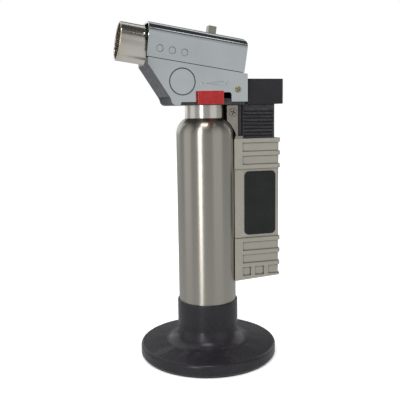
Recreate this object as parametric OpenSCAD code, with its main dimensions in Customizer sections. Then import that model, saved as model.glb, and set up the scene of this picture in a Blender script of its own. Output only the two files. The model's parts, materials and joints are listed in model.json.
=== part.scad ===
// Table-top butane torch: a steel gas tank on a removable stand, a tilted burner head with a
// pressed-metal cover, and a side handle that holds the igniter under a sliding thumb button.
// Millimetres. +Z is up, the origin is on the tank's axis at the underside of the foot pad,
// the burner points towards -X, and the handle and button are on the +X side.

/* [Tank and stand] */
// Radius of the gas tank
tank_r = 15; // [14.6:0.1:15]
// Thickness of the tank's wall
tank_wall = 0.9; // [0.7:0.1:1.2]
// Radius of the stand's foot
foot_r = 35.8; // [33:0.1:40]
// Height of the stand, to the rim of its socket
stand_h = 29.8; // [26:0.1:31]

/* [Burner head] */
// Angle that the burner rises towards its mouth
burner_tilt = 8.7; // [8:0.1:9.5]
// Outer radius of the burner tube
burner_r = 9.35; // [9:0.05:9.4]
// Wall of the burner tube
burner_wall = 0.7; // [0.5:0.1:0.9]
// Width of the head across its side plates
head_w = 26; // [25.6:0.1:26.4]
// Thickness of the pressed metal
sheet = 0.8; // [0.6:0.1:0.8]

/* [Handle] */
// Thickness of the handle across its two halves
handle_w = 19; // [18.6:0.1:19.4]
// Depth of the grip pockets between the ribs
pocket_d = 0.8; // [0.4:0.1:0.8]

/* [Hidden] */
$fn = 96;

overlap = 0.5;            // how far a cutting shape runs past the face it cuts
fit_gap = 0.06;           // radial clearance of a running fit

// Stand
pad_h = 0.8;
socket_floor_z = 6;
tank_bottom_z = 6.2;
neck_wall = 0.75;
foot_top_z = 9;
foot_flare_r = 8;

// Tank
shoulder_r = 9;
shoulder_z = 116.5;
tank_top_z = shoulder_z + shoulder_r;
valve_r = 6;
tank_floor_z = 10;

// Collar and valve, stacked on the tank's axis
collar_r = 10.3;
collar_bottom_z = 124.45;
head_bottom_z = 130.9;
valve_neck_r = 5;
valve_neck_top_z = 138.9;
stem_r = 2;
sleeve_r = 6.8;
sleeve_z = [133.3, 136.9];

// Head
axis_z = 155.3;           // height of the burner's axis above the origin
cover_u = [-31.5, 17.6];  // cover's ends, along the burner's axis
cover_w = [-6.2, 10.4];   // cover's lower edge and top, across the burner's axis
cover_corner_r = 5.6;
seam = 0.3;
plate_out_y = head_w / 2;
body_y = plate_out_y - sheet;
plate_front_x = -31.5;
plate_rear_x = 18.2;
body_rear_x = 17.1;
nose_z = 150.4;           // where the front of the head starts to slant back
chin = [-21.4, 134.9];      // lower end of the slant
plate_bottom_z = 132.4;
toe_x = [-19.4, -16.2];   // the small toe below the plate's lower edge
notch_x = [-7.4, 9.7];    // opening for the flame lever
notch_top_z = 137;
window_z = 134.1;          // sill of the opening behind the notch
screw_spot = [13.1, 138.3];
ring_spot = [-15.2, 142.1];
ring_r = 6.3;
ring_half = 0.3;           // half of the ring groove's width
ring_d = 0.4;
dimple_u = [-25.9, -19.8, -13.7];
dimple_w = -1.7;
rear_corner_r = 3;        // rounding of the cover's top edge at the rear
front_lean = 0.8;         // how far the cover's top overhangs its lower front corner
lead_entry_u = -7;         // where the ignition lead enters the mixer
peg_u = 1.65;
peg_size = [4, 4.4];
peg_top_w = 15;

// Burner, along its axis
mouth_u = -44.4;
tube_end_u = -9;
holder_u = -32.5;
mixer_u = [-10.5, 13];
mixer_r = 5;

// Gas lever
lever_pivot = [4, 141];
lever_tip_x = 22;
lever_t = 1.6;
pin_r = 1;

// Handle
handle_x = [12.3, 38];
handle_z = [39.9, 113.9];
strip_x = 16.8;           // the plain strip beside the tank ends here
rib_h = 2.1;
rib_pitch = 6.67;
upper_ribs = [handle_z[1], handle_z[1] - rib_pitch, handle_z[1] - 2 * rib_pitch];
lower_ribs = [for (i = [0:3]) 62.3 - i * rib_pitch];
handle_corner_r = 2;
seat_r = tank_r + 0.25;
badge_x = [17.9, 35];
badge_z = [64, 97];
badge_t = 0.9;
square_x = [[16.8, 21.2], [23.6, 28.5], [31, 40]];
bay_x = [17.1, 35.1];
bay_y = 7.9;
bracket_spot = [11.7, 127.2];
handle_screw_spots = [[25, 54], [32.9, 99.8]];

// Igniter and button
press = 6;
piezo_x = [21, 29];
piezo_z = [66, 98];
plunger_half = 3.2;
button_foot_z = 109.2;
column_x = [17.4, 34.8];
column_y = 7.6;
block_x = [19.4, 39.8];
block_y = 8.6;
block_z = [131.2, 143.8];
block_corner_r = 2;
block_edge_r = 0.9;       // rounding of the block's outline seen from the side
button_ribs = 8;

function seam_z(x, w) = axis_z - x * tan(burner_tilt) + w / cos(burner_tilt);

module along_burner() {
    translate([0, 0, axis_z]) rotate([0, burner_tilt, 0]) children();
}

module burner_rod(r, from_u, to_u) {
    translate([from_u, 0, 0]) rotate([0, 90, 0]) cylinder(r = r, h = to_u - from_u);
}

module post(r, from_z, to_z) {
    translate([0, 0, from_z]) cylinder(r = r, h = to_z - from_z);
}

// A plate drawn in the XZ plane, from y = from_y to y = to_y
module side_sheet(from_y, to_y) {
    translate([0, to_y, 0]) rotate([90, 0, 0]) linear_extrude(to_y - from_y) children();
}

module cross_rod(r, x, z, from_y, to_y) {
    translate([x, to_y, z]) rotate([90, 0, 0]) cylinder(r = r, h = to_y - from_y);
}

module slab(x, y, z) {
    translate([x[0], y[0], z[0]]) cube([x[1] - x[0], y[1] - y[0], z[1] - z[0]]);
}

module rounded_rect(x, y, r) {
    translate([x[0] + r, y[0]]) square([x[1] - x[0] - 2 * r, y[1] - y[0]]);
    translate([x[0], y[0] + r]) square([x[1] - x[0], y[1] - y[0] - 2 * r]);
    for (cx = [x[0] + r, x[1] - r], cy = [y[0] + r, y[1] - r]) translate([cx, cy]) circle(r);
}

// A tube of flat-sided section along a list of points; its section stays square to y_hint
module swept_tube(points, r, sides, y_hint) {
    last = len(points) - 1;
    function unit(v) = v / norm(v);
    dirs = [for (i = [0:last]) unit(points[min(i + 1, last)] - points[max(i - 1, 0)])];
    rings = [for (i = [0:last], j = [0:sides - 1])
        let (a = 360 * j / sides, u = unit(cross(y_hint, dirs[i])), v = cross(dirs[i], u))
        points[i] + r * cos(a) * u + r * sin(a) * v];
    walls = [for (i = [0:last - 1], j = [0:sides - 1])
        let (k = (j + 1) % sides, a = i * sides, b = a + sides)
        each [[a + j, b + j, b + k], [a + j, b + k, a + k]]];
    start_cap = [for (j = [0:sides - 1]) j];
    end_cap = [for (j = [sides - 1:-1:0]) last * sides + j];
    polyhedron(rings, concat([start_cap], walls, [end_cap]), convexity = 10);
}

// A pan-head screw along +Y, its head's underside at y = 0 and its head towards -Y
module pan_screw(head_r, head_h, shank_r, shank_l) {
    difference() {
        rotate([90, 0, 0]) cylinder(r = head_r, h = head_h);
        for (a = [0, 90]) {
            rotate([0, a + 20, 0]) translate([-head_r * 0.62, -head_h - overlap, -0.3])
                cube([head_r * 1.24, overlap + head_h * 0.6, 0.6]);
        }
    }
    rotate([-90, 0, 0]) cylinder(r = shank_r, h = shank_l);
}

// An open coil, standing on z = 0
module coil(mean_r, wire_r, turns, height) {
    sides = 6;
    steps = 14;
    count = turns * steps;
    rise = height - 2 * wire_r;
    rings = [for (i = [0:count], j = [0:sides - 1])
        let (a = 360 * i / steps, b = 360 * j / sides, r = mean_r + wire_r * cos(b))
        [r * cos(a), r * sin(a), wire_r + rise * i / count + wire_r * sin(b)]];
    walls = [for (i = [0:count - 1], j = [0:sides - 1])
        let (k = (j + 1) % sides, a = i * sides, b = a + sides)
        each [[a + j, a + k, b + k], [a + j, b + k, b + j]]];
    start_cap = [for (j = [sides - 1:-1:0]) j];
    end_cap = [for (j = [0:sides - 1]) count * sides + j];
    polyhedron(rings, concat([start_cap], walls, [end_cap]), convexity = 10);
}

// ---- Stand

module foot_section() {
    neck_r = tank_r + 0.08 + neck_wall;
    rim_r = 1.4;
    rim = [foot_r - rim_r, foot_top_z - 2.3];
    slope = atan2(foot_top_z - rim[1], rim[0] - neck_r);
    flare = [neck_r + foot_flare_r, foot_top_z - foot_flare_r * tan(slope) + foot_flare_r / cos(slope)];
    square([neck_r, stand_h - 0.5]);
    square([neck_r - 0.5, stand_h]);
    translate([neck_r - 0.5, stand_h - 0.5]) circle(0.5);
    polygon([
        [0, pad_h],
        [foot_r - 0.5, pad_h],
        [foot_r, pad_h + 0.7],
        [rim[0] + rim_r, rim[1] - rim_r],
        rim,
        [neck_r, foot_top_z],
        [0, foot_top_z],
    ]);
    translate([rim[0], rim[1] - rim_r]) circle(rim_r);
    difference() {
        polygon([
            [neck_r - 1, pad_h + 1],
            [neck_r - 1, flare[1]],
            [neck_r, flare[1]],
            [flare[0] - foot_flare_r * sin(slope), flare[1] - foot_flare_r * cos(slope)],
            [flare[0] - foot_flare_r * sin(slope), pad_h + 1],
        ]);
        translate(flare) circle(foot_flare_r);
    }
}

module stand_base() {
    color([0.05, 0.05, 0.055]) difference() {
        intersection() {
            rotate_extrude() foot_section();
            post(foot_r + 1, pad_h, stand_h + 1);
        }
        post(tank_r + 0.08, socket_floor_z, stand_h + overlap);
        post(5.5, pad_h + 1.5, socket_floor_z + overlap);
    }
}

module foot_pad() {
    color([0.1, 0.1, 0.1]) post(foot_r - 1, 0, pad_h);
}

// ---- Tank

module tank_outline(r, wall, top_z) {
    square([r - wall, shoulder_z]);
    translate([r - shoulder_r, shoulder_z]) circle(shoulder_r - wall);
    square([r - shoulder_r, top_z - wall]);
}

module tank_shell() {
    color([0.66, 0.65, 0.62]) difference() {
        rotate_extrude() difference() {
            tank_outline(tank_r, 0, tank_top_z);
            tank_outline(tank_r, tank_wall, tank_top_z);
            translate([-tank_r, 0]) square([tank_r, tank_top_z + 1]);
            square([tank_r + 1, tank_bottom_z]);
        }
        post(valve_r, shoulder_z, tank_top_z + overlap);
    }
}

// The tank's outside, grown by a gap, as a cutting shape
module tank_room(gap) {
    post(tank_r + gap, 20, shoulder_z);
    rotate_extrude() intersection() {
        union() {
            translate([tank_r - shoulder_r, shoulder_z]) circle(shoulder_r + gap);
            translate([0, shoulder_z]) square([tank_r - shoulder_r, shoulder_r + gap]);
        }
        translate([0, shoulder_z - 1]) square(40);
    }
}

module tank_floor() {
    color([0.6, 0.6, 0.58]) difference() {
        union() {
            post(tank_r - tank_wall, tank_floor_z, tank_floor_z + 1.2);
            post(5, tank_floor_z, tank_floor_z + 4);
        }
        post(4, tank_floor_z - overlap, tank_floor_z + 4 + overlap);
    }
}

module wick_tube() {
    color([0.9, 0.9, 0.88]) difference() {
        post(1.4, 24, 112);
        post(0.8, 24 - overlap, 112 + overlap);
    }
}

module refill_body() {
    color([0.72, 0.6, 0.3]) difference() {
        union() {
            post(4, 8.6, 21);
            post(4.7, 8.6, tank_floor_z);
        }
        post(1.5 + fit_gap, 8, 12);
        post(2.6, 12 - 0.01, 19.8);
        post(1, 19.8 - 0.01, 21 + overlap);
    }
}

module refill_seal() {
    color([0.15, 0.12, 0.1]) difference() {
        post(2.5, 12.1, 13.1);
        post(1.6, 12, 13.2);
    }
}

module refill_stem() {
    color([0.85, 0.75, 0.4]) difference() {
        union() {
            post(1.5, 7.2, 13.4);
            post(2.4, 13.4, 14.4);
        }
        post(0.5, 7, 12.6);
    }
}

module refill_spring() {
    color([0.7, 0.7, 0.7]) translate([0, 0, 14.4]) coil(1.9, 0.25, 4, 5.4);
}

// ---- Valve

module valve_body() {
    color([0.78, 0.66, 0.35]) difference() {
        union() {
            post(valve_r, 112, tank_top_z + 0.6);
            post(7.6, tank_top_z + 0.6, tank_top_z + 2.1);
            post(valve_neck_r, tank_top_z + 2, valve_neck_top_z);
        }
        post(stem_r + fit_gap, 122, valve_neck_top_z + overlap);
        post(3.4, 113.4, 122.01);
        post(1.4, 112 - overlap, 113.5);
    }
}

module valve_washer() {
    color([0.12, 0.12, 0.12]) difference() {
        post(7.5, tank_top_z, tank_top_z + 0.6);
        post(valve_r, tank_top_z - 1, tank_top_z + 1);
    }
}

module valve_stem() {
    color([0.8, 0.7, 0.4]) {
        post(stem_r, 118, 145.2);
        post(2.9, 117, 118);
        post(3.2, 143.1, 144.2);
    }
}

module valve_spring() {
    color([0.7, 0.7, 0.7]) translate([0, 0, 118.1]) coil(2.75, 0.3, 4, 3.8);
}

module neck_collar() {
    color([0.75, 0.74, 0.7]) difference() {
        post(collar_r, collar_bottom_z, head_bottom_z);
        post(7.7, tank_top_z - 1, tank_top_z + 2.1);
        post(valve_neck_r, tank_top_z, head_bottom_z + overlap);
        tank_room(0);
    }
}

module regulator_sleeve() {
    color([0.8, 0.68, 0.36]) difference() {
        post(sleeve_r, sleeve_z[0], sleeve_z[1]);
        post(valve_neck_r + fit_gap, sleeve_z[0] - 1, sleeve_z[1] + 1);
    }
}

lever_turn = -6.5;        // where the flame lever rests, from the -Y axis
lever_half = 22;          // half of the angle that its pad spans
pad_r = [15.8, 17];
pad_z = [131.2, 137.6];

module flame_lever() {
    teeth = 22;
    color([0.75, 0.05, 0.05]) rotate([0, 0, lever_turn]) difference() {
        union() {
            post(8.6, sleeve_z[0], sleeve_z[1]);
            slab([-4, 4], [-pad_r[0] - 0.3, -6], [window_z + 0.4, notch_top_z - 0.4]);
            intersection() {
                difference() {
                    post(pad_r[1], pad_z[0], pad_z[1]);
                    post(pad_r[0], pad_z[0] - 1, pad_z[1] + 1);
                }
                linear_extrude(200) polygon([[0, 0], [-40 * sin(lever_half), -40 * cos(lever_half)],
                    [40 * sin(lever_half), -40 * cos(lever_half)]]);
            }
        }
        post(sleeve_r, sleeve_z[0] - 1, sleeve_z[1] + 1);
        for (i = [1:teeth - 1]) {
            rotate([0, 0, lever_half * (2 * i / teeth - 1)])
                translate([0, -pad_r[1] - 0.08, pad_z[0] - 1]) cylinder(r = 0.28, h = 10);
        }
    }
}

// ---- Head

module plate_outline(notched) {
    toe_r = 2.6;
    difference() {
        polygon([
            [plate_front_x, seam_z(plate_front_x, cover_w[0] - seam)],
            [plate_front_x, nose_z],
            [chin[0], chin[1]],
            [chin[0] + 0.9, chin[1] - 2],
            [chin[0] + 0.9 + toe_r, head_bottom_z],
            [toe_x[1], head_bottom_z],
            [toe_x[1], plate_bottom_z],
            [plate_rear_x, plate_bottom_z],
            [plate_rear_x, seam_z(plate_rear_x, cover_w[0] - seam)],
        ]);
        if (notched) {
            rounded_rect(notch_x, [plate_bottom_z - 4, notch_top_z], 1.3);
        }
    }
    translate([chin[0] + 0.7 + toe_r, head_bottom_z + toe_r]) circle(toe_r);
}

module side_plate(notched) {
    face_y = -plate_out_y;
    difference() {
        side_sheet(face_y, -body_y) plate_outline(notched);
        difference() {
            cross_rod(ring_r + ring_half, ring_spot[0], ring_spot[1], face_y - 1, face_y + ring_d);
            cross_rod(ring_r - ring_half, ring_spot[0], ring_spot[1], face_y - 2, face_y + 1);
        }
        cross_rod(1.05, screw_spot[0], screw_spot[1], face_y - 1, 0);
    }
}

module side_plate_left() {
    color([0.78, 0.8, 0.82]) side_plate(true);
}

module side_plate_right() {
    color([0.78, 0.8, 0.82]) mirror([0, 1, 0]) side_plate(false);
}

module plate_screws() {
    color([0.72, 0.62, 0.36]) for (side = [0, 1]) {
        mirror([0, side, 0]) translate([screw_spot[0], -plate_out_y, screw_spot[1]])
            pan_screw(1.6, 0.55, 0.95, 2.6);
    }
}

// The cover's section across the burner's axis
module cover_section(inset, low) {
    r = cover_corner_r - inset;
    y = plate_out_y - inset;
    top = cover_w[1] - inset;
    translate([-y, low]) square([2 * y, top - r - low]);
    translate([-y + r, low]) square([2 * (y - r), top - low]);
    for (s = [-1, 1]) translate([s * (y - r), top - r]) circle(r);
}

// The cover's outline seen from the side
module cover_side(inset, low, front) {
    r = rear_corner_r - inset;
    rear = cover_u[1] - inset;
    top = cover_w[1] - inset;
    polygon([[front, low], [rear, low], [rear, top - r], [rear - r, top], [front - front_lean, top]]);
    translate([rear - r, top - r]) circle(r);
}

module cover_solid(inset, low, front) {
    intersection() {
        translate([front - 5, 0, 0]) rotate([90, 0, 90]) linear_extrude(60) cover_section(inset, low);
        side_sheet(-20, 20) cover_side(inset, low, front);
    }
}

module burner_cover() {
    dimple_r = 1.75;
    dimple_d = 0.3;
    slot_half = 6.5;
    color([0.8, 0.82, 0.84]) along_burner() difference() {
        cover_solid(0, cover_w[0], cover_u[0]);
        cover_solid(sheet, cover_w[0] - 1, cover_u[0] - 2);
        slab([peg_u - peg_size[0] / 2 - 0.3, peg_u + peg_size[0] / 2 + 0.3],
            [-slot_half, slot_half], [cover_w[1] - 2, cover_w[1] + 1]);
        for (u = dimple_u, s = [-1, 1]) {
            translate([u, s * (plate_out_y + 1 - dimple_d), dimple_w]) rotate([90, 0, 0])
                cylinder(r = dimple_r, h = 2, center = true);
        }
    }
}

module body_outline() {
    polygon([
        [plate_front_x, seam_z(plate_front_x, cover_w[0] - seam)],
        [plate_front_x, nose_z],
        [chin[0] - 0.2, chin[1] + 0.3],
        [toe_x[1] - 2, chin[1] + 0.3],
        [toe_x[1], head_bottom_z],
        [body_rear_x, head_bottom_z],
        [body_rear_x, seam_z(body_rear_x, cover_w[0] - seam)],
    ]);
}

module head_body() {
    inner_y = 10.4;
    tail_y = 8;
    color([0.07, 0.07, 0.07]) difference() {
        union() {
            side_sheet(-body_y, body_y) body_outline();
            slab([8.8, 16.6], [-tail_y, tail_y], [115.6, head_bottom_z + 1]);
        }
        // trough of the burner tube
        along_burner() burner_rod(burner_r, mouth_u, tube_end_u);
        // chamber of the valve and lever, open under the cover
        slab([-13.5, 16.2], [-inner_y, inner_y], [133.1, 160]);
        // room for the collar, the shoulder and the tank
        post(collar_r + 0.05, collar_bottom_z - 20, head_bottom_z);
        post(valve_neck_r, head_bottom_z - 1, 134);
        tank_room(0.25);
        // window of the flame lever
        slab([notch_x[0], notch_x[1]], [-20, -inner_y + 1], [window_z, notch_top_z]);
        // slot of the gas lever, through the rear wall
        slab([14, 20], [-2.6, 2.6], [133.1, 143.2]);
        // passage of the ignition lead
        translate([15, 5.6, 110]) cylinder(r = 1.3, h = 30);
        cross_rod(pin_r, lever_pivot[0], lever_pivot[1], -11.4, 11.4);
        for (s = [-1, 1]) {
            cross_rod(0.95, screw_spot[0], screw_spot[1], s > 0 ? 9 : -14, s > 0 ? 14 : -9);
            cross_rod(1.2, bracket_spot[0], bracket_spot[1], s > 0 ? 4 : -9, s > 0 ? 9 : -4);
        }
    }
}

// ---- Burner

module burner_tube() {
    color([0.72, 0.7, 0.66]) along_burner() difference() {
        burner_rod(burner_r, mouth_u, tube_end_u);
        burner_rod(burner_r - burner_wall, mouth_u - 1, tube_end_u - 1.2);
        burner_rod(mixer_r, tube_end_u - 3, tube_end_u + 1);
    }
}

module flame_holder() {
    holes = 8;
    color([0.45, 0.36, 0.25]) along_burner() difference() {
        burner_rod(burner_r - burner_wall, holder_u, holder_u + 3);
        burner_rod(2.2, holder_u - 1, holder_u + 4);
        for (i = [0:holes - 1]) {
            rotate([360 * (i + 0.5) / holes, 0, 0])
                translate([0, 0, 5.4]) burner_rod(1.25, holder_u - 1, holder_u + 4);
        }
    }
}

module mixer_body() {
    air_holes = 4;
    color([0.76, 0.64, 0.34]) along_burner() difference() {
        union() {
            burner_rod(mixer_r, mixer_u[0], mixer_u[1]);
            burner_rod(mixer_r + 1.4, mixer_u[0] + 1.5, peg_u - 4.2);
        }
        burner_rod(3, mixer_u[0] - 1, 4.5);
        burner_rod(1.8, 4, mixer_u[1] + 1);
        translate([lead_entry_u, 0, 0]) rotate([-90, 0, 0]) cylinder(r = 1, h = 9);
        for (i = [0:air_holes - 1]) {
            rotate([45 + 360 * i / air_holes, 0, 0]) translate([peg_u, 0, 0]) cylinder(r = 1.2, h = 8);
        }
    }
}

module air_collar() {
    air_holes = 4;
    ring_out = mixer_r + 1.3;
    color([0.62, 0.59, 0.54]) along_burner() difference() {
        union() {
            burner_rod(ring_out, peg_u - 3.6, peg_u + 3.6);
            slab([peg_u - peg_size[0] / 2, peg_u + peg_size[0] / 2],
                [-peg_size[1] / 2, peg_size[1] / 2], [mixer_r + 0.5, peg_top_w]);
        }
        burner_rod(mixer_r + fit_gap, peg_u - 5, peg_u + 5);
        for (i = [0:air_holes - 1]) {
            rotate([45 + 360 * i / air_holes, 0, 0]) translate([peg_u, 0, 0]) cylinder(r = 1.4, h = 9);
        }
    }
}

module gas_jet() {
    color([0.85, 0.74, 0.42]) along_burner() difference() {
        burner_rod(1.8, 5, mixer_u[1]);
        burner_rod(1, 6, mixer_u[1] + 1);
        burner_rod(0.25, 4, 7);
    }
}

gas_path = [
    [0, -5, 138], [0, -6.6, 138], [-0.5, -8, 138.8], [-0.6, -8.7, 141], [1.5, -8.7, 143.6], [6, -8.4, 145.4],
    [10.5, -6.5, 147.4], [13.8, -3.6, 149.2], [15, -1.8, 151], [14.7, -0.5, 152.5], [13.7, -0.1, 153.1],
    [12.5, 0, 153.37],
];

module gas_pipe() {
    color([0.8, 0.55, 0.35]) swept_tube(gas_path, 0.9, 8, [0.2, 0.3, 1]);
}

module electrode() {
    color([0.7, 0.7, 0.7]) along_burner() {
        burner_rod(0.5, -37, -6);
        translate([-37, 0, 0]) sphere(0.5);
    }
}

module electrode_insulator() {
    color([0.95, 0.94, 0.9]) along_burner() difference() {
        burner_rod(1.7, -35, -8);
        burner_rod(0.5, -36, -5);
    }
}

lead_path = [
    [20.6, 5.6, 66.85], [19.3, 5.6, 67.2], [18.6, 5.6, 69], [18.6, 5.6, 90], [18.2, 5.6, 95],
    [16, 5.6, 101.5], [15.2, 5.6, 106], [15, 5.6, 112], [15, 5.6, 145],
    [14.2, 6, 147], [12, 6.6, 148.4], [0, 7.1, 150.4],
    [-4, 7.5, 152.2], [-6, 7.7, 154.4], [-6.8, 7.2, 156], [-6.92, 5.8, 156.36], [-6.92, 0.6, 156.36],
];

module ignition_lead() {
    color([0.08, 0.08, 0.08]) swept_tube(lead_path, 0.8, 8, [0.3, 1, 0.2]);
}

// ---- Gas lever

module gas_lever() {
    fork_tip_x = -1.4;
    strip_z = [lever_pivot[1] - lever_t / 2, lever_pivot[1] + lever_t / 2];
    color([0.7, 0.7, 0.68]) difference() {
        union() {
            slab([fork_tip_x, lever_pivot[0] + 3], [-3.6, 3.6], strip_z);
            slab([lever_pivot[0], lever_tip_x], [-2, 2], strip_z);
            cross_rod(1.9, lever_pivot[0], lever_pivot[1], -3.6, 3.6);
            cross_rod(1.1, lever_tip_x, lever_pivot[1], -2, 2);
        }
        slab([fork_tip_x - 1, 2.4], [-2.4, 2.4], [135, 146]);
        cross_rod(pin_r + fit_gap, lever_pivot[0], lever_pivot[1], -5, 5);
    }
}

module lever_pin() {
    color([0.7, 0.7, 0.7]) cross_rod(pin_r, lever_pivot[0], lever_pivot[1], -11.4, 11.4);
}

// ---- Handle

module handle_plan(inset) {
    r = handle_corner_r - inset;
    y = handle_w / 2 - inset;
    x1 = handle_x[1] - inset;
    translate([handle_x[0], -y]) square([x1 - handle_x[0] - r, 2 * y]);
    translate([handle_x[0], -y + r]) square([x1 - handle_x[0], 2 * (y - r)]);
    for (s = [-1, 1]) translate([x1 - r, s * (y - r)]) circle(r);
}

module pocket_plan(from_x, to_x) {
    difference() {
        translate([from_x, -handle_w]) square([to_x - from_x, 2 * handle_w]);
        handle_plan(pocket_d);
    }
}

module pocket(from_x, to_x, from_z, to_z) {
    translate([0, 0, from_z]) linear_extrude(to_z - from_z) pocket_plan(from_x, to_x);
}

module handle_body() {
    far_x = handle_x[1] + 2;
    difference() {
        translate([0, 0, handle_z[0]]) linear_extrude(handle_z[1] - handle_z[0]) handle_plan(0);
        // grip pockets between the ribs
        for (i = [0:1]) pocket(strip_x, far_x, upper_ribs[i + 1], upper_ribs[i] - rib_h);
        for (i = [0:1]) pocket(strip_x, far_x, lower_ribs[i + 1], lower_ribs[i] - rib_h);
        pocket(handle_x[0] - 1, far_x, lower_ribs[0], upper_ribs[2] - rib_h);
        for (x = square_x) pocket(x[0], x[1], lower_ribs[3], lower_ribs[2] - rib_h);
        // lower end, which rises a little towards the back
        translate([handle_x[0], 0, handle_z[0]]) rotate([0, -3.2, 0])
            translate([-5, -20, -10]) cube([50, 40, 10]);
        // seat against the tank
        post(seat_r, 30, 120);
        // inside
        slab(bay_x, [-bay_y, bay_y], [102.6, handle_z[1] + 1]);
        slab([bay_x[0], 34.4], [-7.2, 7.2], [43.6, 102.7]);
        // badge seats
        for (s = [-1, 1]) {
            side_sheet(s > 0 ? 8.4 : -20, s > 0 ? 20 : -8.4)
                rounded_rect([badge_x[0], badge_x[1]], badge_z, 2.3);
        }
        // slot of the bracket's tongue, and channel of the ignition lead
        slab([15.6, bay_x[0] + overlap], [-4.2, 4.2], [105, handle_z[1] + 1]);
        slab([13.8, 19], [4.6, 6.6], [88, handle_z[1] + 1]);
    }
    difference() {
        union() {
            for (p = handle_screw_spots) cross_rod(2.2, p[0], p[1], -7.2, 7.2);
            slab([20, 30], [-7.2, 7.2], [63.8, piezo_z[0]]);
        }
        slab([18.2, 20.6], [4.4, 6.8], [60, 70]);
    }
}

module screw_holes() {
    for (p = handle_screw_spots) {
        cross_rod(1, p[0], p[1], -6, 8);
        cross_rod(2, p[0], p[1], 7.6, 12);
    }
}

module handle_left() {
    color([0.58, 0.55, 0.51]) intersection() {
        difference() {
            handle_body();
            screw_holes();
        }
        slab([0, 60], [-20, 0], [0, 130]);
    }
}

module handle_right() {
    color([0.58, 0.55, 0.51]) intersection() {
        difference() {
            handle_body();
            screw_holes();
        }
        slab([0, 60], [0, 20], [0, 130]);
    }
}

module handle_screws() {
    color([0.3, 0.3, 0.3]) for (p = handle_screw_spots) {
        translate([p[0], 7.6, p[1]]) rotate([0, 0, 180]) pan_screw(1.9, 0.9, 1, 13);
    }
}

module bracket_outline() {
    difference() {
        polygon([[8.5, 130.6], [14.2, 130.6], [14.2, handle_z[1]], [12.8, handle_z[1]], [8.5, 122]]);
        translate([3.6, 113.4]) circle(9.9);
    }
}

module handle_bracket() {
    arm_y = [8.05, 9.4];
    color([0.66, 0.64, 0.59]) difference() {
        union() {
            for (s = [0, 1]) mirror([0, s, 0]) side_sheet(-arm_y[1], -arm_y[0]) bracket_outline();
            slab([12.8, 16.9], [-arm_y[1], arm_y[1]], [handle_z[1], handle_z[1] + 1.4]);
            slab([15.6, 16.8], [-4.2, 4.2], [105, handle_z[1] + 1]);
        }
        tank_room(0.25);
        translate([15, 5.6, 110]) cylinder(r = 1, h = 10);
        cross_rod(1.2, bracket_spot[0], bracket_spot[1], -12, 12);
        for (s = [0, 1]) mirror([0, s, 0]) cross_rod(2.15, bracket_spot[0], bracket_spot[1], -12, -8.9);
    }
}

module bracket_screws() {
    color([0.6, 0.58, 0.54]) for (side = [0, 1]) {
        mirror([0, side, 0]) translate([bracket_spot[0], -8.9, bracket_spot[1]]) pan_screw(2, 0.75, 1.2, 4.7);
    }
}

module badge(side) {
    side_sheet(side > 0 ? 8.4 : -8.4 - badge_t, side > 0 ? 8.4 + badge_t : -8.4)
        rounded_rect(badge_x, badge_z, 2.3);
}

module badge_left() {
    color([0.05, 0.05, 0.05]) badge(-1);
}

module badge_right() {
    color([0.05, 0.05, 0.05]) badge(1);
}

// ---- Igniter and button

module piezo_body() {
    color([0.85, 0.85, 0.8]) difference() {
        slab(piezo_x, [-4, 4], piezo_z);
        slab([piezo_x[0] + 0.6, piezo_x[1] - 0.6], [-3.4, 3.4], [84, 99]);
    }
}

module piezo_plunger() {
    mid_x = (piezo_x[0] + piezo_x[1]) / 2;
    color([0.15, 0.15, 0.15])
        translate([mid_x - plunger_half, -plunger_half, 91])
            cube([2 * plunger_half, 2 * plunger_half, button_foot_z - 91]);
}

module return_spring() {
    mid_x = (piezo_x[0] + piezo_x[1]) / 2;
    color([0.7, 0.7, 0.7]) translate([mid_x, 0, piezo_z[1] + 0.05])
        coil(5.3, 0.35, 6, button_foot_z - piezo_z[1] - 0.1);
}

module thumb_button() {
    rib_z = [114.9, 129];
    pitch = (rib_z[1] - rib_z[0]) / button_ribs;
    groove_d = 0.5;
    color([0.08, 0.08, 0.09]) difference() {
        union() {
            slab(column_x, [-column_y, column_y], [button_foot_z, block_z[0] + 0.1]);
            intersection() {
                translate([0, 0, block_z[0]]) linear_extrude(block_z[1] - block_z[0])
                    rounded_rect(block_x, [-block_y, block_y], block_corner_r);
                side_sheet(-block_y, block_y) rounded_rect(block_x, block_z, block_edge_r);
            }
        }
        for (i = [0:button_ribs - 1]) {
            for (s = [-1, 1]) {
                slab([column_x[0] + 0.4, column_x[1] - 0.9],
                    [s * column_y - groove_d, s * column_y + groove_d],
                    [rib_z[0] + i * pitch, rib_z[0] + i * pitch + 0.7]);
            }
        }
        // socket of the gas lever
        slab([block_x[0] - 1, lever_tip_x + 3], [-2.4, 2.4], [lever_pivot[1] - 2, lever_pivot[1] + 2]);
    }
}

stand_base();
foot_pad();
tank_shell();
tank_floor();
wick_tube();
refill_body();
refill_seal();
refill_stem();
refill_spring();
valve_body();
valve_washer();
valve_stem();
valve_spring();
neck_collar();
regulator_sleeve();
flame_lever();
head_body();
side_plate_left();
side_plate_right();
burner_cover();
plate_screws();
burner_tube();
flame_holder();
mixer_body();
air_collar();
gas_jet();
gas_pipe();
electrode();
electrode_insulator();
ignition_lead();
gas_lever();
lever_pin();
handle_left();
handle_right();
handle_screws();
handle_bracket();
bracket_screws();
badge_left();
badge_right();
piezo_body();
piezo_plunger();
thumb_button();
return_spring();
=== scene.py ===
import json
import math

import bmesh
import bpy
from mathutils import Matrix, Vector


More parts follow.
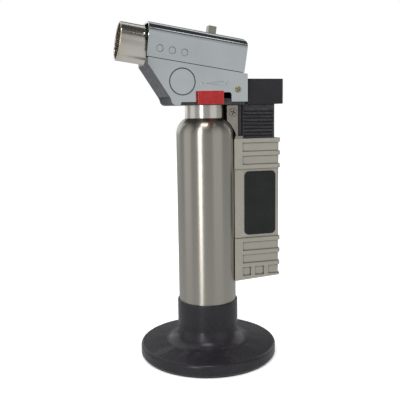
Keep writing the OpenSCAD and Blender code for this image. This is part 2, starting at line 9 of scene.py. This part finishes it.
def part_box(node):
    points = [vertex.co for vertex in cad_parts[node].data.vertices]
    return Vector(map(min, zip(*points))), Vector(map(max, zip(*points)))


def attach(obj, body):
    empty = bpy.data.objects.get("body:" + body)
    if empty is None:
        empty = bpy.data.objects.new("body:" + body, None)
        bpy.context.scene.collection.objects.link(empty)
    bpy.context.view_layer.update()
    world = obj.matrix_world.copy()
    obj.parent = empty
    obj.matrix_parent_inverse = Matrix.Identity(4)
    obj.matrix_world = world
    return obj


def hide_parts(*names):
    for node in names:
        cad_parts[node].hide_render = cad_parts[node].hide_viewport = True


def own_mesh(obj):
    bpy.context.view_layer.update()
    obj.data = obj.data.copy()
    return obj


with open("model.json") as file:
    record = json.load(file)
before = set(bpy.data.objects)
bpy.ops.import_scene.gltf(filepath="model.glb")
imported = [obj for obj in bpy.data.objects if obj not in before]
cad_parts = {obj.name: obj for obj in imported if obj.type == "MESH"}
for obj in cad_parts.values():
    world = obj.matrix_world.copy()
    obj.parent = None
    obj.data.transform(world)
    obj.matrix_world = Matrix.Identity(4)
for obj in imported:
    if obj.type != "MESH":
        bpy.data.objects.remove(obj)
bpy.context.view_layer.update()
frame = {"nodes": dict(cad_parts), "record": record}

MM = 0.001
scene = bpy.context.scene
scene.view_settings.view_transform = "Standard"

# ---- Camera

CAMERA_AT = Vector((-0.0901085, -0.2947908, 0.127617))
CAMERA_AHEAD = Vector((0.279004, 0.949151, -0.145841))
CAMERA_UP = Vector((0.054773, 0.135896, 0.989208))
LENS_MM = 53.808


def make_camera():
    data = bpy.data.cameras.new("view")
    data.lens = LENS_MM
    data.sensor_width = 36.0
    data.clip_start = 0.01
    camera = bpy.data.objects.new("view", data)
    scene.collection.objects.link(camera)
    back = -CAMERA_AHEAD.normalized()
    right = CAMERA_UP.cross(back).normalized()
    up = back.cross(right)
    turn = Matrix((right, up, back)).transposed().to_4x4()
    camera.matrix_world = Matrix.Translation(CAMERA_AT) @ turn
    scene.camera = camera


# ---- Light and floor

TARGET = Vector((0.0, 0.0, 0.10))


def panel(name, azimuth, elevation, distance, width, height, radiance):
    """A soft light panel that faces the torch; azimuth 0 is in front of its left side."""
    a, e = math.radians(azimuth), math.radians(elevation)
    way = Vector((math.sin(a) * math.cos(e), -math.cos(a) * math.cos(e), math.sin(e)))
    data = bpy.data.lights.new(name, "AREA")
    data.shape = "RECTANGLE"
    data.size = width
    data.size_y = height
    data.energy = radiance * math.pi * width * height
    light = bpy.data.objects.new(name, data)
    scene.collection.objects.link(light)
    light.location = TARGET + distance * way
    light.rotation_euler = way.to_track_quat("Z", "Y").to_euler()
    light.visible_camera = False


def make_light():
    panel("strip", -39.0, 16, 1.2, 0.25, 1.5, 3.6)
    panel("right_wide", 30, 14, 1.3, 0.95, 1.3, 0.26)
    panel("left_wide", -94, 14, 1.3, 0.8, 1.3, 0.32)
    panel("upper_front", 38, 54, 1.2, 0.26, 0.08, 1.3)
    panel("overhead", -22, 66, 1.2, 0.34, 0.28, 7.0)
    panel("upper_rear", 153, 56, 1.3, 0.7, 0.4, 0.7)
    panel("upper_back", -140, 62, 1.3, 0.9, 0.7, 0.5)
    panel("rear_right", 112, 20, 1.3, 0.9, 1.2, 0.8)
    panel("rear_left", -158, 25, 1.3, 1.0, 1.2, 0.6)
    sky = bpy.data.lights.new("sky_fill", "SUN")
    sky.energy = 2.9
    sky.angle = math.radians(100)
    light = bpy.data.objects.new("sky_fill", sky)
    scene.collection.objects.link(light)
    light.rotation_euler = Vector((-0.25, -0.35, 1.0)).to_track_quat("Z", "Y").to_euler()
    light.visible_glossy = False
    light.visible_camera = False


def make_floor():
    bm = bmesh.new()
    bmesh.ops.create_circle(bm, cap_ends=True, radius=3.0, segments=96)
    mesh = bpy.data.meshes.new("floor")
    bm.to_mesh(mesh)
    bm.free()
    floor = bpy.data.objects.new("floor", mesh)
    scene.collection.objects.link(floor)
    dress(floor, floor_finish())
    floor.visible_glossy = False


def make_world():
    """White to the camera; to reflections, a soft room that darkens overhead."""
    world = bpy.data.worlds.new("studio")
    scene.world = world
    world.use_nodes = True
    nodes, links = world.node_tree.nodes, world.node_tree.links
    nodes.clear()
    coord = nodes.new("ShaderNodeTexCoord")
    split = nodes.new("ShaderNodeSeparateXYZ")
    links.new(coord.outputs["Generated"], split.inputs[0])
    ramp = nodes.new("ShaderNodeValToRGB")
    height = nodes.new("ShaderNodeMapRange")
    height.inputs["From Min"].default_value = -1.0
    links.new(split.outputs["Z"], height.inputs["Value"])
    links.new(height.outputs["Result"], ramp.inputs["Fac"])
    stops = [(0.0, 0.52), (0.30, 0.48), (0.42, 0.38), (0.47, 0.35), (0.54, 0.27), (0.62, 0.29), (0.72, 0.17),
             (0.84, 0.08), (0.93, 0.045), (1.0, 0.04)]
    fill_ramp(ramp, [(at, (v * 0.97, v, v * 1.02)) for at, v in stops])
    ambient = nodes.new("ShaderNodeBackground")
    links.new(ramp.outputs["Color"], ambient.inputs["Color"])
    ambient.inputs["Strength"].default_value = 1.0
    seen = nodes.new("ShaderNodeBackground")
    seen.inputs["Color"].default_value = (1.0, 1.0, 1.0, 1.0)
    path = nodes.new("ShaderNodeLightPath")
    mix = nodes.new("ShaderNodeMixShader")
    links.new(path.outputs["Is Camera Ray"], mix.inputs["Fac"])
    links.new(ambient.outputs[0], mix.inputs[1])
    links.new(seen.outputs[0], mix.inputs[2])
    out = nodes.new("ShaderNodeOutputWorld")
    links.new(mix.outputs[0], out.inputs["Surface"])


def fill_ramp(ramp, stops):
    marks = ramp.color_ramp.elements
    while len(marks) > 1:
        marks.remove(marks[-1])
    marks[0].position, marks[0].color = stops[0][0], (*stops[0][1], 1.0)
    for at, colour in stops[1:]:
        marks.new(at).color = (*colour, 1.0)


# ---- Materials


class Finish:
    """A procedural material. Scales are in patterns per millimetre of the object's own space."""

    def __init__(self, name, colour, metallic, roughness, **sockets):
        self.material = bpy.data.materials.new(name)
        self.material.use_nodes = True
        self.tree = self.material.node_tree
        self.shader = self.tree.nodes["Principled BSDF"]
        self.colour = colour
        self.put("Base Color", (*colour, 1.0))
        self.put("Metallic", metallic)
        self.put("Roughness", roughness)
        for socket, value in sockets.items():
            self.put(socket.replace("_", " "), value)
        self.roughness = roughness
        self.bumped = None
        self.place = self.tree.nodes.new("ShaderNodeTexCoord").outputs["Object"]

    def put(self, socket, value):
        self.shader.inputs[socket].default_value = value

    def node(self, kind, **values):
        made = self.tree.nodes.new(kind)
        for key, value in values.items():
            setattr(made, key, value)
        return made

    def link(self, a, b):
        self.tree.links.new(a, b)

    def noise(self, per_mm, detail=3.0, rough=0.55):
        scale = per_mm if isinstance(per_mm, tuple) else (per_mm,) * 3
        mapping = self.node("ShaderNodeMapping")
        mapping.inputs["Scale"].default_value = tuple(s / MM for s in scale)
        self.link(self.place, mapping.inputs["Vector"])
        noise = self.node("ShaderNodeTexNoise")
        noise.inputs["Scale"].default_value = 1.0
        noise.inputs["Detail"].default_value = detail
        noise.inputs["Roughness"].default_value = rough
        self.link(mapping.outputs[0], noise.inputs["Vector"])
        return noise.outputs["Fac"]

    def span(self, value, low, high, from_low=0.3, from_high=0.7):
        made = self.node("ShaderNodeMapRange")
        limits = {"From Min": from_low, "From Max": from_high, "To Min": low, "To Max": high}
        for socket, number in limits.items():
            made.inputs[socket].default_value = number
        self.link(value, made.inputs["Value"])
        return made.outputs["Result"]

    def vary_roughness(self, value, by):
        self.link(self.span(value, self.roughness - by, self.roughness + by), self.shader.inputs["Roughness"])
        return self

    def tones(self, value, low, high):
        """The base colour runs from low to high times itself along a pattern."""
        ramp = self.node("ShaderNodeValToRGB")
        darker = tuple(c * low for c in self.colour)
        lighter = tuple(min(1, c * high) for c in self.colour)
        fill_ramp(ramp, [(0.3, darker), (0.7, lighter)])
        self.link(value, ramp.inputs["Fac"])
        return ramp.outputs["Color"]

    def mix(self, fac, a, b):
        made = self.node("ShaderNodeMix", data_type="RGBA")
        self.link(fac, made.inputs[0])
        for value, socket in ((a, made.inputs[6]), (b, made.inputs[7])):
            if isinstance(value, tuple):
                socket.default_value = (*value, 1.0)
            else:
                self.link(value, socket)
        return made.outputs[2]

    def paint(self, value):
        self.link(value, self.shader.inputs["Base Color"])
        return self

    def bump(self, value, height_mm, strength=1.0):
        made = self.node("ShaderNodeBump")
        made.inputs["Strength"].default_value = strength
        made.inputs["Distance"].default_value = height_mm * MM
        self.link(value, made.inputs["Height"])
        if self.bumped is not None:
            self.link(self.bumped, made.inputs["Normal"])
        self.bumped = made.outputs["Normal"]
        self.link(self.bumped, self.shader.inputs["Normal"])
        return self

    def painted_cavity_shade(self, colour, reach_mm, dark, low=0.55, high=0.95):
        """The colour with painted shade: darker in grooves and inner corners over about reach_mm, from
        ambient occlusion.
        """
        near = self.node("ShaderNodeAmbientOcclusion", samples=16, only_local=True)
        near.inputs["Distance"].default_value = reach_mm * MM
        open_air = self.span(near.outputs["AO"], 0.0, 1.0, low, high)
        return self.mix(open_air, tuple(c * dark for c in self.colour), colour)

    def edge_wear_and_highlight(self, low=0.52, high=0.62):
        """A mask of the convex edges, broken up by a fine pattern; the paler colour it carries is partly
        rubbed wear and partly painted edge highlight.
        """
        point = self.node("ShaderNodeNewGeometry").outputs["Pointiness"]
        edge = self.span(point, 0.0, 1.0, low, high)
        ragged = self.span(self.noise(0.9, 4), 0.0, 1.0, 0.35, 0.65)
        both = self.node("ShaderNodeMath", operation="MULTIPLY")
        both.use_clamp = True
        self.link(edge, both.inputs[0])
        self.link(ragged, both.inputs[1])
        return both.outputs[0]


def around_z(f, turned):
    """The shader's grain runs round the Z axis; its highlights stretch along it."""
    tangent = f.node("ShaderNodeTangent", direction_type="RADIAL", axis="Z")
    f.link(tangent.outputs[0], f.shader.inputs["Tangent"])
    f.put("Anisotropic Rotation", turned)


def chrome():
    f = Finish("chrome", (0.70, 0.735, 0.752), 1.0, 0.085)
    smear = f.noise((0.05, 0.05, 0.09), 3)
    f.vary_roughness(smear, 0.03)
    # painted shade in grooves and inner corners
    f.paint(f.painted_cavity_shade(f.tones(f.noise(0.08, 4), 0.95, 1.03), 0.8, 0.12))
    f.bump(f.noise(0.11, 2), 0.012)
    f.bump(f.noise(2.2, 4, 0.7), 0.0012)
    return f.material


def brushed_steel():
    f = Finish("brushed_steel", (0.54, 0.507, 0.445), 1.0, 0.28, Anisotropic=0.7)
    around_z(f, 0.25)
    coarse = f.noise((0.02, 0.02, 4.5), 2, 0.6)
    fine = f.noise((0.07, 0.07, 11.0), 2, 0.6)
    f.vary_roughness(coarse, 0.006)
    f.paint(f.mix(fine, f.tones(coarse, 0.99, 1.01), f.tones(f.noise((0.02, 0.02, 0.35), 2), 0.994, 1.006)))
    f.bump(fine, 0.00012, 0.3)
    return f.material


def nickel(name, colour, roughness):
    f = Finish(name, colour, 1.0, roughness)
    f.vary_roughness(f.noise(0.12, 4), 0.04)
    # painted shade in grooves and inner corners
    f.paint(f.painted_cavity_shade(f.tones(f.noise(0.2, 4), 0.93, 1.05), 0.8, 0.12))
    f.bump(f.noise(1.6, 4, 0.7), 0.003)
    return f.material


def burner_nickel():
    """Warm nickel with a straw and blue bloom of heat towards the mouth, and soot inside."""
    f = Finish("burner_nickel", (0.86, 0.815, 0.74), 1.0, 0.20)
    split = f.node("ShaderNodeSeparateXYZ")
    f.link(f.place, split.inputs[0])
    mouth_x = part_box("burner_tube")[0].x
    near = f.span(split.outputs["X"], 1.0, 0.0, mouth_x, mouth_x + 9 * MM)
    ramp = f.node("ShaderNodeValToRGB")
    fill_ramp(ramp, [(0.0, (0.86, 0.815, 0.74)), (0.5, (0.87, 0.80, 0.70)), (0.85, (0.82, 0.72, 0.60)),
                     (1.0, (0.68, 0.61, 0.56))])
    f.link(near, ramp.inputs["Fac"])
    cloud = f.span(f.noise(0.35, 3), 0.0, 0.5)
    f.paint(f.mix(cloud, ramp.outputs["Color"], f.tones(f.noise(0.15, 3), 0.9, 1.05)))
    f.vary_roughness(f.noise((0.05, 0.4, 0.4), 3), 0.02)
    f.bump(f.noise((0.08, 0.9, 0.9), 2), 0.0004)
    return f.material


def scorched_brass():
    f = Finish("scorched_brass", (0.30, 0.22, 0.13), 1.0, 0.45)
    f.paint(f.mix(f.noise(0.5, 4), (0.33, 0.24, 0.13), (0.10, 0.085, 0.08)))
    f.vary_roughness(f.noise(1.0, 4), 0.12)
    f.bump(f.noise(2.0, 4), 0.02)
    return f.material


def brass(name, colour, roughness):
    f = Finish(name, colour, 1.0, roughness)
    # painted shade in grooves and inner corners
    f.paint(f.painted_cavity_shade(f.tones(f.noise(0.6, 4), 0.85, 1.06), 0.6, 0.1))
    f.vary_roughness(f.noise(1.1, 4), 0.06)
    f.bump(f.noise(3.0, 3), 0.004)
    return f.material


def moulded(name, colour, roughness, grain_per_mm=2.2, grain_mm=0.02, edge_wear_and_highlight_colour=None):
    """Moulded plastic: a fine spark-eroded grain, slight tone changes, paler edges that are partly wear and
    partly painted highlight, and painted shade in grooves and corners.
    """
    f = Finish(name, colour, 0.0, roughness, IOR=1.45)
    tone = f.tones(f.noise(0.06, 4), 0.88, 1.12)
    # paler edges: partly wear, partly painted highlight
    if edge_wear_and_highlight_colour:
        tone = f.mix(f.edge_wear_and_highlight(), tone, edge_wear_and_highlight_colour)
    # painted shade in grooves and inner corners
    f.paint(f.painted_cavity_shade(tone, 1.0, 0.25))
    f.vary_roughness(f.noise(0.25, 4), 0.06)
    f.bump(f.noise(grain_per_mm, 3, 0.6), grain_mm)
    f.bump(f.noise(0.12, 2), 0.05, 0.5)
    return f.material


def satin_coat():
    """The handle's satin metallic coat: a fine sparkle in a warm grey, paler at the rib edges as partly wear
    and partly painted highlight, with painted shade in the grooves.
    """
    f = Finish("handle_satin", (0.50, 0.470, 0.405), 0.8, 0.36, IOR=1.5)
    flake = f.noise(5.0, 2, 0.7)
    base = f.mix(f.span(flake, 0.0, 1.0, 0.4, 0.62), (0.47, 0.442, 0.378), (0.53, 0.50, 0.43))
    broad = f.tones(f.noise(0.045, 3), 0.93, 1.05)
    half = f.mix(f.span(f.noise(0.03, 2), 0.35, 0.65), base, broad)
    # paler rib edges: partly wear, partly painted highlight
    worn_and_highlit = f.mix(f.edge_wear_and_highlight(0.53, 0.66), half, (0.62, 0.59, 0.53))
    # painted shade in grooves and inner corners
    f.paint(f.painted_cavity_shade(worn_and_highlit, 1.1, 0.10, 0.5, 0.9))
    f.vary_roughness(f.noise(0.3, 4), 0.05)
    f.bump(flake, 0.006)
    f.bump(f.noise(0.35, 3), 0.02, 0.5)
    return f.material


def badge_lacquer():
    f = Finish("badge_black", (0.0085, 0.0095, 0.0093), 0.0, 0.30, IOR=1.4)
    f.paint(f.tones(f.noise(0.09, 4), 0.8, 1.25))
    f.vary_roughness(f.noise(0.2, 4), 0.07)
    f.bump(f.noise(3.5, 3), 0.004)
    return f.material


def drawn_steel(name, colour, roughness):
    f = Finish(name, colour, 1.0, roughness)
    # painted shade in grooves and inner corners
    f.paint(f.painted_cavity_shade(f.tones(f.noise(0.8, 3), 0.88, 1.05), 0.6, 0.1))
    f.vary_roughness(f.noise((3.0, 0.3, 0.3), 3), 0.07)
    f.bump(f.noise(2.5, 3), 0.004)
    return f.material


def glazed():
    f = Finish("ceramic", (0.86, 0.84, 0.78), 0.0, 0.18)
    f.paint(f.mix(f.span(f.noise(0.4, 4), 0.0, 0.5), (0.86, 0.84, 0.78), (0.62, 0.58, 0.5)))
    f.bump(f.noise(1.5, 3), 0.006)
    return f.material


def floor_finish():
    f = Finish("floor", (0.94, 0.94, 0.94), 0.0, 0.7,
               Emission_Color=(1.0, 1.0, 1.0, 1.0), Emission_Strength=0.22)
    f.paint(f.tones(f.noise(0.004, 3), 0.99, 1.01))
    return f.material


FINISHES = {
    # a last colour given to moulded() is its paler edge colour: partly wear, partly painted highlight
    "black_plastic": lambda: moulded("black_plastic", (0.0165, 0.0148, 0.0178), 0.28, 2.0, 0.003,
                                     (0.045, 0.044, 0.048)),
    "rubber": lambda: moulded("rubber", (0.022, 0.022, 0.023), 0.78, 1.2, 0.04),
    "brushed_steel": brushed_steel,
    "plain_steel": lambda: drawn_steel("plain_steel", (0.56, 0.56, 0.55), 0.3),
    "white_plastic": lambda: moulded("white_plastic", (0.72, 0.72, 0.68), 0.42),
    "brass": lambda: brass("brass", (0.72, 0.55, 0.27), 0.24),
    "spring_steel": lambda: drawn_steel("spring_steel", (0.5, 0.5, 0.5), 0.28),
    "nickel": burner_nickel,
    "red_plastic": lambda: moulded("red_plastic", (0.44, 0.016, 0.018), 0.33, 1.6, 0.006, (0.50, 0.06, 0.06)),
    "chrome": chrome,
    "brass_screw": lambda: brass("brass_screw", (0.60, 0.52, 0.34), 0.26),
    "scorched_brass": scorched_brass,
    "copper": lambda: brass("copper", (0.70, 0.42, 0.26), 0.28),
    "ceramic": glazed,
    "lead_rubber": lambda: moulded("lead_rubber", (0.02, 0.02, 0.02), 0.6, 1.5, 0.02),
    "handle_satin": satin_coat,
    "screw_steel": lambda: drawn_steel("screw_steel", (0.42, 0.42, 0.42), 0.34),
    "bracket_nickel": lambda: nickel("bracket_nickel", (0.42, 0.392, 0.34), 0.28),
    "badge_black": badge_lacquer,
    "dark_plastic": lambda: moulded("dark_plastic", (0.04, 0.04, 0.04), 0.5),
    "button_plastic": lambda: moulded("button_plastic", (0.0125, 0.0112, 0.0130), 0.40, 2.6, 0.010,
                                      (0.04, 0.04, 0.043)),
}
made = {}


def finish(slot):
    if slot not in made:
        made[slot] = FINISHES[slot]()
    return made[slot]


slot_of = {part["node"]: part["material_slot"] for part in frame["record"]["subparts"]}
body_of = {node: body for body, members in frame["record"]["behaviour"]["bodies"].items() for node in members}


def dress(obj, material):
    if not obj.data.materials:
        obj.data.materials.append(material)
    for index in range(len(obj.data.materials)):
        obj.data.materials[index] = material


# ---- Pieces with softened edges

# node: (edge radius in mm, segments)
SOFT_EDGES = {
    "stand_base": (0.3, 2), "foot_pad": (0.3, 2),
    "head_body": (0.3, 2), "side_plate_left": (0.22, 2), "side_plate_right": (0.22, 2),
    "burner_cover": (0.28, 2), "plate_screws": (0.12, 2), "burner_tube": (0.2, 2),
    "flame_holder": (0.2, 2), "mixer_body": (0.2, 2), "air_collar": (0.3, 2),
    "neck_collar": (0.35, 3), "flame_lever": (0.16, 2),
    "handle_left": (0.24, 2), "handle_right": (0.24, 2), "handle_screws": (0.12, 2),
    "handle_bracket": (0.16, 2), "bracket_screws": (0.14, 2),
    "badge_left": (0.25, 3), "badge_right": (0.25, 3),
    "thumb_button": (0.24, 2), "gas_lever": (0.15, 2),
}
SHARP = math.radians(32)    # edges that turn more than this are rounded
FLAT = math.radians(0.5)    # faces that turn less than this are merged
KEEP_FACES = {"thumb_button"}    # its flat sides have grooves inside them, so they stay cut up


def soften(node):
    """A copy of a CAD node with its flat faces merged and its edges rounded, in the node's place."""
    width, segments = SOFT_EDGES[node]
    bm = bmesh.new()
    bm.from_mesh(frame["nodes"][node].data)
    bmesh.ops.remove_doubles(bm, verts=bm.verts, dist=1e-6)
    if node not in KEEP_FACES:
        bmesh.ops.dissolve_limit(bm, angle_limit=FLAT, verts=bm.verts, edges=bm.edges)
    for face in bm.faces:
        face.smooth = True
    for edge in bm.edges:
        edge.smooth = len(edge.link_faces) == 2 and edge.calc_face_angle(0.0) < SHARP
    mesh = bpy.data.meshes.new(node + "_rounded")
    bm.to_mesh(mesh)
    bm.free()
    piece = bpy.data.objects.new(node + "_rounded", mesh)
    scene.collection.objects.link(piece)
    bevel = piece.modifiers.new("edges", "BEVEL")
    bevel.width = width * MM
    bevel.segments = segments
    bevel.limit_method = "ANGLE"
    bevel.angle_limit = SHARP
    bevel.use_clamp_overlap = True
    bevel.miter_outer = "MITER_ARC"
    weigh = piece.modifiers.new("normals", "WEIGHTED_NORMAL")
    weigh.keep_sharp = False
    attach(piece, body_of[node])
    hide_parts(node)
    dress(piece, finish(slot_of[node]))
    return piece


# ---- Coil springs

# node: (joint that presses it, whether its upper end is the one that stays put)
SPRINGS = {
    "return_spring": ("button_press", False),
    "valve_spring": ("valve_stem_lift", True),
    "refill_spring": ("refill_press", True),
}


def make_spring(node):
    """A copy of a coil spring, in the node's place, at its rest length."""
    piece = bpy.data.objects.new(node + "_coil", frame["nodes"][node].data.copy())
    scene.collection.objects.link(piece)
    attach(piece, body_of[node])
    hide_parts(node)
    dress(piece, finish(slot_of[node]))
    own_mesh(piece)


# ---- Extra detail on the head


def add_piece(name, bm, body, slot, smooth=True):
    for face in bm.faces:
        face.smooth = smooth
    mesh = bpy.data.meshes.new(name)
    bm.to_mesh(mesh)
    bm.free()
    piece = bpy.data.objects.new(name, mesh)
    scene.collection.objects.link(piece)
    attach(piece, body)
    dress(piece, finish(slot))
    return piece


def raised_outline(bm, points, y_back, y_front, edge):
    """A low boss in the XZ plane with rounded front edges, from points given anticlockwise seen from -Y."""
    back = [bm.verts.new((x, y_back, z)) for x, z in points]
    front = [bm.verts.new((x, y_front, z)) for x, z in points]
    bm.faces.new(back[::-1])
    cap = bm.faces.new(front)
    for i in range(len(points)):
        j = (i + 1) % len(points)
        bm.faces.new((back[i], back[j], front[j], front[i]))
    bmesh.ops.bevel(bm, geom=list(cap.edges), offset=edge, segments=2, affect="EDGES", profile=0.5)


def make_flow_marks():
    """Generic marks for less and more flame, in low relief above the lever: a bar, a wedge and a cross."""
    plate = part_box("side_plate_left")[0].y
    back, front = plate + 0.1 * MM, plate - 0.3 * MM
    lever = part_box("flame_lever")
    z = lever[1].z + 3.6 * MM
    mid = (lever[0].x + lever[1].x) / 2 + 1.2 * MM
    bar, thick, edge = 1.0 * MM, 0.32 * MM, 0.14 * MM
    bm = bmesh.new()
    low, high = mid - 6.4 * MM, mid + 6.4 * MM
    minus = [(-bar, -thick), (bar, -thick), (bar, thick), (-bar, thick)]
    raised_outline(bm, [(low + x, z + y) for x, y in minus], back, front, edge)
    cross = [(-bar, -thick), (-thick, -thick), (-thick, -bar), (thick, -bar), (thick, -thick), (bar, -thick),
             (bar, thick), (thick, thick), (thick, bar), (-thick, bar), (-thick, thick), (-bar, thick)]
    raised_outline(bm, [(high + x, z + y) for x, y in cross], back, front, edge)
    half, tip = 4.3 * MM, 0.12 * MM
    wedge = [(-half, -tip), (half, -bar), (half, bar), (-half, tip)]
    raised_outline(bm, [(mid + x, z + y) for x, y in wedge], back, front, 0.1 * MM)
    add_piece("flow_marks", bm, "torch", "chrome", smooth=False)


def ring_points(at, axis, radius, count):
    side = axis.orthogonal().normalized()
    up = axis.cross(side)
    return [at + radius * (math.cos(2 * math.pi * i / count) * side + math.sin(2 * math.pi * i / count) * up)
            for i in range(count)]


def lathe(bm, profile, origin, axis, count=96):
    """Turns a closed profile of (distance along axis, radius) round an axis."""
    rings = [[bm.verts.new(p) for p in ring_points(origin + axis * d, axis, r, count)] for d, r in profile]
    for k in range(len(rings)):
        a, b = rings[k], rings[(k + 1) % len(rings)]
        for i in range(count):
            j = (i + 1) % count
            bm.faces.new((a[i], a[j], b[j], b[i]))
    bmesh.ops.recalc_face_normals(bm, faces=bm.faces)


# The burner's axis, which crosses the tank's axis at PIVOT
TILT = math.radians(8.7)
BURNER_AXIS = Vector((-math.cos(TILT), 0, math.sin(TILT)))
PIVOT = Vector((0, 0, 155.3 * MM))


def make_mouth_lip():
    """The burner tube's rolled lip."""
    bm = bmesh.new()
    r, c, at = 8.98 * MM, 0.42 * MM, 44.0 * MM
    profile = [(at + c * math.cos(a), r + c * math.sin(a)) for a in [2 * math.pi * i / 14 for i in range(14)]]
    lathe(bm, profile, PIVOT, BURNER_AXIS)
    add_piece("mouth_lip", bm, "torch", "nickel")


# ---- Build

make_camera()
make_light()
make_world()
make_floor()

for name, obj in frame["nodes"].items():
    if name in SOFT_EDGES:
        soften(name)
    elif name in SPRINGS:
        make_spring(name)
    else:
        dress(obj, finish(slot_of[name]))

make_flow_marks()
make_mouth_lip()
